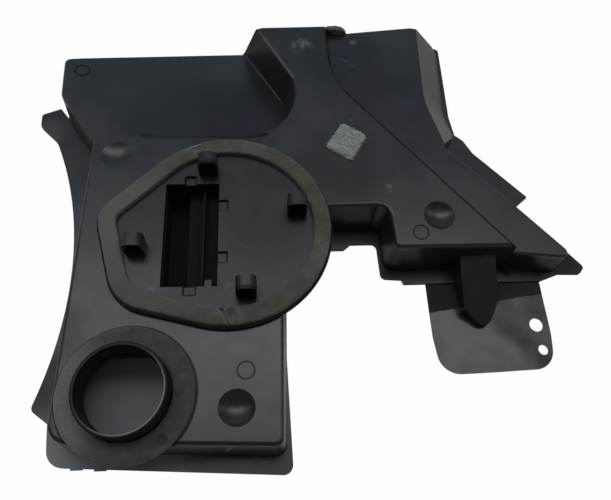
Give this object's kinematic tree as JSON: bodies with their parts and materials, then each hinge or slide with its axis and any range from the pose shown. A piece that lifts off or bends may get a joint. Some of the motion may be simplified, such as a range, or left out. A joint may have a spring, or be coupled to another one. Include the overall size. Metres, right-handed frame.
{
  "type": "engine trim cover",
  "caption": "Hollow moulded cover with a raised collar and foam ring, a gasketed round socket plate, a sunk wing, a stepped shelf and a thin flap below it",
  "frame": {"origin": "centre of the overall bounding box in X and Y, on the flat back", "axes": "+Z out of the main face, from the back toward the collar's mouth; +Y up and +X to the right as the cover is seen from the front"},
  "size_m": [0.3829, 0.3282, 0.054],
  "materials": {
    "body_plastic": "semi-gloss moulded black",
    "plate_plastic": "satin moulded dark grey",
    "gasket_foam": "closed-cell foam, matte",
    "collar_foam": "worn closed-cell foam, matte",
    "felt": "pale grey felt",
    "flap_sheet": "thin glossy sheet",
    "edge_foam": "open-cell foam, matte"
  },
  "bodies": {
    "root": {"cover_body": "body_plastic", "socket_plate": "plate_plastic", "plate_gasket": "gasket_foam", "collar_gasket": "collar_foam", "felt_pad": "felt", "flap": "flap_sheet", "edge_foam_pad": "edge_foam"}
  },
  "joints": []
}
